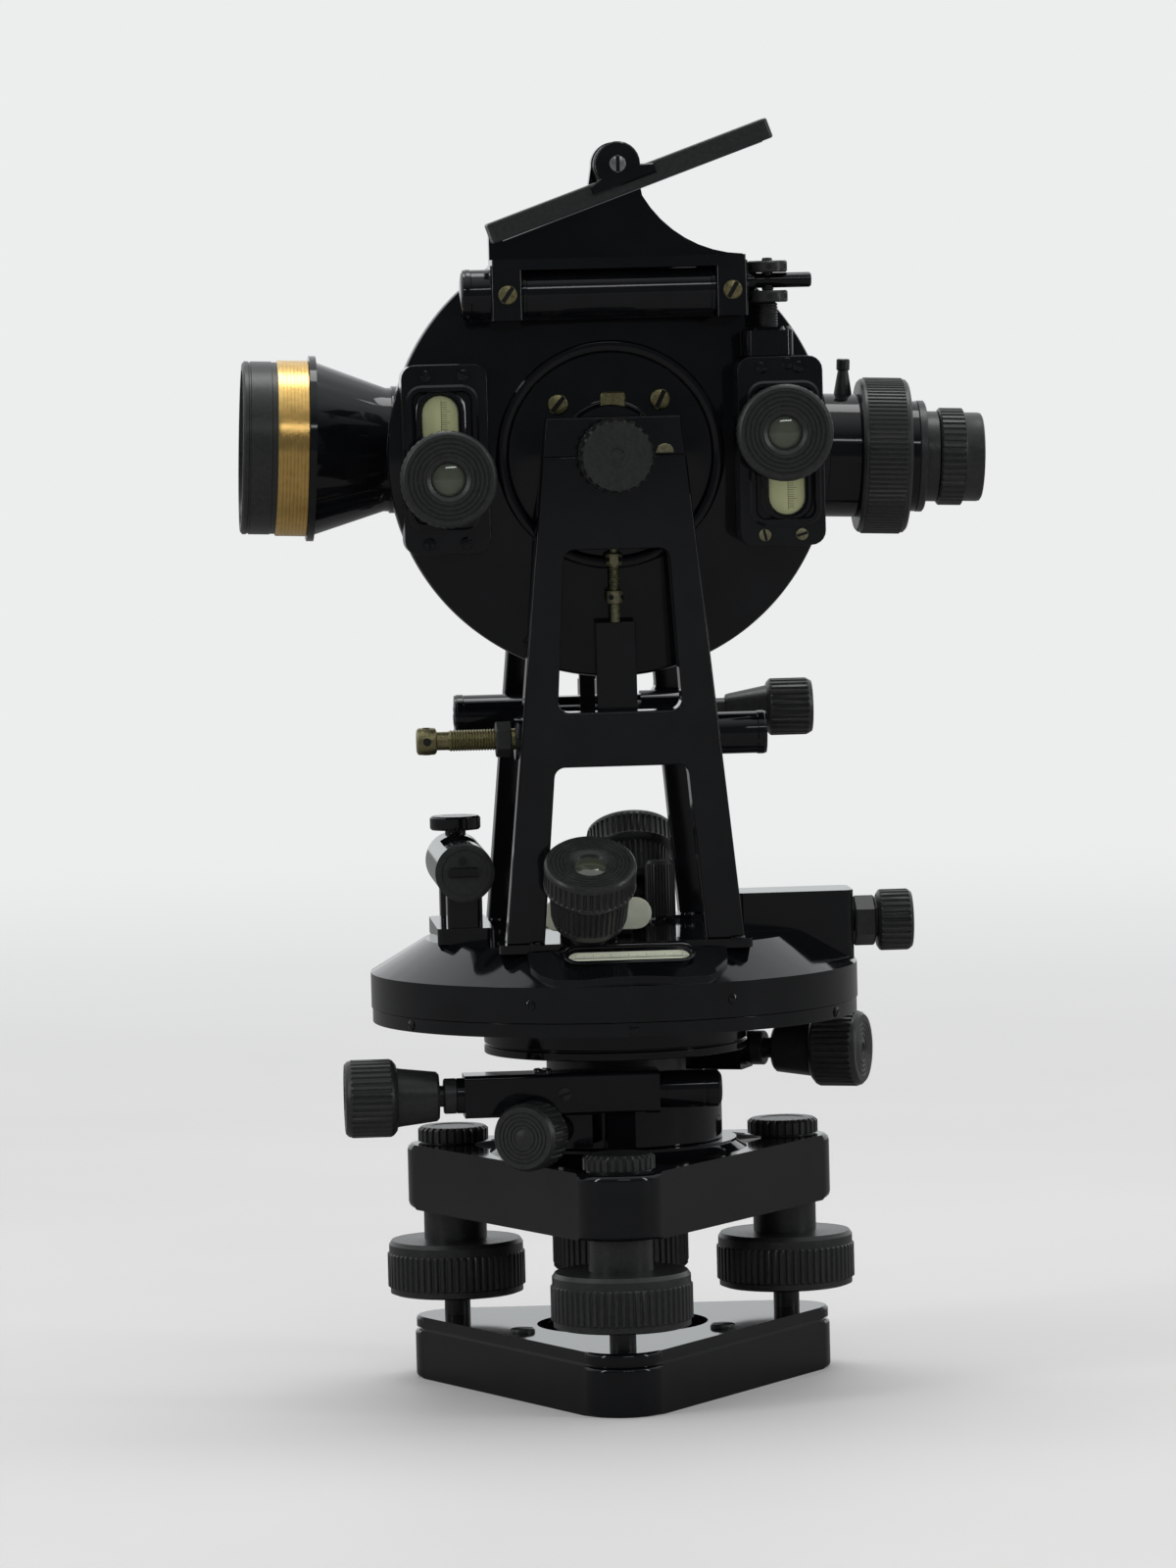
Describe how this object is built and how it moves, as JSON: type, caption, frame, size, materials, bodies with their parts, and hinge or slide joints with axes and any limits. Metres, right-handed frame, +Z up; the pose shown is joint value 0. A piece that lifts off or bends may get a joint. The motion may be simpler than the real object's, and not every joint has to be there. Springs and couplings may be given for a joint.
{
  "type": "transit theodolite",
  "caption": "Vernier transit theodolite with a reversing telescope between two standards, covered circles, an altitude level with mirror and a levelling head on foot screws.",
  "frame": {"origin": "the vertical axis at the underside of the base plate, in the tripod thread", "axes": "+Z up along the vertical axis, +X towards the eyepiece along the level telescope, -Y the side with the microscopes"},
  "size_m": [0.2131, 0.1478, 0.361],
  "materials": {
    "enamel": "glossy black enamel",
    "black_satin": "satin black",
    "steel": "turned",
    "bronze": "dull, aged",
    "bright_brass": "turned and lacquered",
    "silvered": "silvered and graduated",
    "opal": "opal",
    "vial": "clear, spirit filled",
    "lens": "polished"
  },
  "bodies": {
    "base": {"base_plate": "enamel", "spring_plate": "enamel", "base_screws": "bronze"},
    "foot_screw_front": {"foot_screw_front": "black_satin"},
    "foot_screw_right": {"foot_screw_right": "black_satin"},
    "foot_screw_left": {"foot_screw_left": "black_satin"},
    "tribrach": {"tribrach": "enamel", "foot_caps": "black_satin", "axis_bush": "bronze"},
    "centre_nut": {"centre_nut": "black_satin"},
    "lower_clamp": {"lower_clamp_arm": "enamel"},
    "lower_lock_screw": {"lower_lock_screw": "black_satin"},
    "lower_clamp_screw": {"lower_clamp_screw": "black_satin"},
    "lower_tangent_screw": {"lower_tangent_screw": "black_satin"},
    "limb": {"outer_axis": "black_satin", "limb_drum": "enamel", "horizontal_circle": "silvered"},
    "alidade": {"inner_axis": "steel", "plate_cover": "enamel", "plate_bottom_ring": "enamel", "plate_verniers": "silvered", "plate_windows": "opal", "plate_level_case": "enamel", "plate_level_vial": "vial", "near_standard": "enamel", "far_standard": "enamel", "near_bearing_cap": "enamel", "far_bearing_cap": "enamel", "cap_screws": "bronze"},
    "upper_clamp_screw": {"upper_clamp_screw": "black_satin"},
    "magnifier_near": {"magnifier_near": "black_satin"},
    "magnifier_far": {"magnifier_far": "black_satin"},
    "vertical_clamp": {"vertical_clamp_arm": "enamel"},
    "vertical_tangent_screw": {"vertical_tangent_screw": "black_satin"},
    "telescope": {"telescope_tube": "enamel", "trunnion_axle": "steel", "objective_hood": "black_satin", "brass_band": "bright_brass", "objective_lens": "lens", "reticle": "lens", "eyepiece_tube": "black_satin", "rear_sight": "bronze", "vertical_circle": "silvered"},
    "focusing_ring": {"focusing_ring": "black_satin"},
    "focusing_lens": {"focusing_lens": "lens"},
    "eyepiece_ring": {"eyepiece_ring": "black_satin"},
    "trunnion_knob": {"trunnion_knob": "black_satin"},
    "index_frame": {"circle_cover": "enamel", "circle_back": "enamel", "index_arm": "enamel", "index_screws": "bronze", "microscope_housings": "enamel", "vernier_windows": "opal", "altitude_level_case": "enamel", "altitude_level_vial": "vial"},
    "clip_screw": {"clip_screw": "bronze"},
    "microscope_left": {"microscope_left": "black_satin"},
    "microscope_right": {"microscope_right": "black_satin"},
    "level_mirror": {"level_mirror": "enamel"}
  },
  "joints": [
    {"name": "foot_screw_front_turn", "type": "hinge", "parent": "base", "child": "foot_screw_front", "pos_m": [-0.00415, -0.05514, 0.02], "axis": [0, 0, 1], "range_deg": [-721, 721]},
    {"name": "foot_screw_right_turn", "type": "hinge", "parent": "base", "child": "foot_screw_right", "pos_m": [0.04983, 0.02398, 0.02], "axis": [0, 0, 1], "range_deg": [-721, 721]},
    {"name": "foot_screw_left_turn", "type": "hinge", "parent": "base", "child": "foot_screw_left", "pos_m": [-0.04568, 0.03116, 0.02], "axis": [0, 0, 1], "range_deg": [-721, 721]},
    {"name": "head_lift", "type": "slide", "parent": "base", "child": "tribrach", "axis": [0, 0, 1], "range_m": [-0.0025, 0.0025]},
    {"name": "centre_nut_turn", "type": "hinge", "parent": "tribrach", "child": "centre_nut", "pos_m": [0, 0, 0.04], "axis": [0, 0, 1], "range_deg": [-180, 180]},
    {"name": "lower_tangent_turn", "type": "hinge", "parent": "lower_clamp", "child": "lower_tangent_screw", "pos_m": [-0.002, -0.036, 0.0886], "axis": [-1, 0, 0], "range_deg": [-904, 904]},
    {"name": "lower_clamp_swing", "type": "hinge", "parent": "tribrach", "child": "lower_clamp", "pos_m": [0, 0, 0.1], "axis": [0, 0, 1], "range_deg": [-2, 2]},
    {"name": "lower_clamp_turn", "type": "hinge", "parent": "lower_clamp", "child": "lower_clamp_screw", "pos_m": [0.01761, 0.04358, 0.0927], "axis": [0.9272, -0.3746, 0], "range_deg": [-90, 90]},
    {"name": "lower_lock_turn", "type": "hinge", "parent": "lower_clamp", "child": "lower_lock_screw", "pos_m": [-0.01408, -0.02649, 0.0784], "axis": [-0.4695, -0.8829, 0], "range_deg": [-90, 90]},
    {"name": "limb_turn", "type": "hinge", "parent": "lower_clamp", "child": "limb", "pos_m": [0, 0, 0.1], "axis": [0, 0, 1], "continuous": true},
    {"name": "plate_turn", "type": "hinge", "parent": "limb", "child": "alidade", "pos_m": [0, 0, 0.1], "axis": [0, 0, 1], "continuous": true},
    {"name": "upper_clamp_turn", "type": "hinge", "parent": "alidade", "child": "upper_clamp_screw", "pos_m": [0.0686, 0, 0.1317], "axis": [1, 0, 0], "range_deg": [-90, 90]},
    {"name": "near_magnifier_turn", "type": "hinge", "parent": "alidade", "child": "magnifier_near", "pos_m": [-0.0105, -0.046, 0.1303], "axis": [0, -0.5446, 0.8387], "range_deg": [-180, 180]},
    {"name": "far_magnifier_turn", "type": "hinge", "parent": "alidade", "child": "magnifier_far", "pos_m": [0.0105, 0.046, 0.1303], "axis": [0, 0.5446, 0.8387], "range_deg": [-180, 180]},
    {"name": "vertical_tangent_turn", "type": "hinge", "parent": "alidade", "child": "vertical_tangent_screw", "pos_m": [0.03, 0.034, 0.192], "axis": [1, 0, 0], "range_deg": [-1432, 1432]},
    {"name": "vertical_clamp_swing", "type": "hinge", "parent": "alidade", "child": "vertical_clamp", "pos_m": [0, 0, 0.268], "axis": [0, 1, 0], "range_deg": [-1.5, 1.5]},
    {"name": "telescope_tilt", "type": "hinge", "parent": "vertical_clamp", "child": "telescope", "pos_m": [0, 0, 0.268], "axis": [0, 1, 0], "continuous": true},
    {"name": "focus_turn", "type": "hinge", "parent": "telescope", "child": "focusing_ring", "pos_m": [0.07994, 0, 0.26493], "axis": [0.9993, 0, -0.0384], "range_deg": [-240, 240]},
    {"name": "focus_slide", "type": "slide", "parent": "telescope", "child": "focusing_lens", "axis": [0.9993, 0, -0.0384], "range_m": [-0.0081, 0.0081]},
    {"name": "eyepiece_turn", "type": "hinge", "parent": "telescope", "child": "eyepiece_ring", "pos_m": [0.09993, 0, 0.26416], "axis": [0.9993, 0, -0.0384], "range_deg": [-180, 180]},
    {"name": "trunnion_knob_turn", "type": "hinge", "parent": "telescope", "child": "trunnion_knob", "pos_m": [0, -0.05, 0.268], "axis": [0, -1, 0], "range_deg": [-90, 90]},
    {"name": "clip_turn", "type": "hinge", "parent": "alidade", "child": "clip_screw", "pos_m": [-0.03, -0.034, 0.1887], "axis": [-1, 0, 0], "range_deg": [-1495, 1495]},
    {"name": "index_swing", "type": "hinge", "parent": "alidade", "child": "index_frame", "pos_m": [0, 0, 0.268], "axis": [0, 1, 0], "range_deg": [-1.5, 1.5]},
    {"name": "left_microscope_turn", "type": "hinge", "parent": "index_frame", "child": "microscope_left", "pos_m": [-0.047, -0.05, 0.2627], "axis": [0, -1, 0], "range_deg": [-180, 180]},
    {"name": "right_microscope_turn", "type": "hinge", "parent": "index_frame", "child": "microscope_right", "pos_m": [0.047, -0.05, 0.2733], "axis": [0, -1, 0], "range_deg": [-180, 180]},
    {"name": "mirror_tilt", "type": "hinge", "parent": "index_frame", "child": "level_mirror", "pos_m": [0.0025, -0.043, 0.349], "axis": [0, 1, 0], "range_deg": [0, 39]}
  ],
  "couplings": [
    {"joint": "foot_screw_front_turn", "follows": "head_lift", "rad_per_m": 5026.5},
    {"joint": "foot_screw_right_turn", "follows": "head_lift", "rad_per_m": 5026.5},
    {"joint": "foot_screw_left_turn", "follows": "head_lift", "rad_per_m": 5026.5},
    {"joint": "lower_clamp_swing", "follows": "lower_tangent_turn", "ratio": 0.0022105},
    {"joint": "vertical_clamp_swing", "follows": "vertical_tangent_turn", "ratio": 0.0010471},
    {"joint": "clip_turn", "follows": "index_swing", "ratio": 996.51},
    {"joint": "focus_slide", "follows": "focus_turn", "m_per_rad": 0.0019099}
  ]
}
